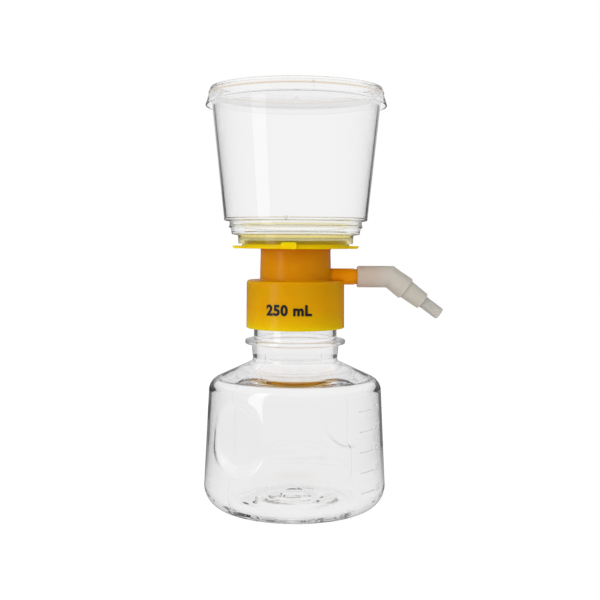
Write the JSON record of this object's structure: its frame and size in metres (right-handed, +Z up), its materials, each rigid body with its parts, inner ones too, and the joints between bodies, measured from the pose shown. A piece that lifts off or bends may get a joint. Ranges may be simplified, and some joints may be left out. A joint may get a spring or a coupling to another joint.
{
  "type": "vacuum filtration unit",
  "caption": "Clear covered funnel cup above a membrane on a screw-on filter base with a vacuum side arm and swivelling hose adapter, on a clear graduated receiver bottle.",
  "frame": {"origin": "centre of the bottle's foot, on the surface that the unit stands on", "axes": "+Z up along the bottle's axis, +X towards the vacuum side arm, the front faces -Y"},
  "size_m": [0.1165, 0.0888, 0.2031],
  "materials": {
    "clear_bottle": "clear glossy",
    "clear_cup": "clear glossy",
    "yellow_base": "glossy moulded",
    "white_adapter": "satin moulded",
    "white_membrane": "matt",
    "white_plug": "matt",
    "gasket_rubber": "matt"
  },
  "bodies": {
    "bottle": {"receiver_bottle": "clear_bottle"},
    "gasket": {"neck_gasket": "gasket_rubber"},
    "filter_head": {"filter_base": "yellow_base", "filter_membrane": "white_membrane", "side_arm_plug": "white_plug", "funnel_cup": "clear_cup"},
    "cover": {"lid": "clear_cup"},
    "adapter": {"hose_adapter": "white_adapter"}
  },
  "joints": [
    {"name": "thread_lift", "type": "slide", "parent": "bottle", "child": "gasket", "axis": [0, 0, 1], "range_m": [0, 0.008]},
    {"name": "collar_unscrew", "type": "hinge", "parent": "gasket", "child": "filter_head", "pos_m": [0, 0, 0.1], "axis": [0, 0, 1], "range_deg": [0, 720]},
    {"name": "lid_lift", "type": "slide", "parent": "filter_head", "child": "cover", "axis": [0, 0, 1], "range_m": [0, 0.03]},
    {"name": "adapter_swivel", "type": "hinge", "parent": "filter_head", "child": "adapter", "pos_m": [0.036, 0, 0.1128], "axis": [1, 0, 0], "continuous": true}
  ],
  "couplings": [
    {"joint": "thread_lift", "follows": "collar_unscrew", "m_per_rad": 0.0006366}
  ]
}
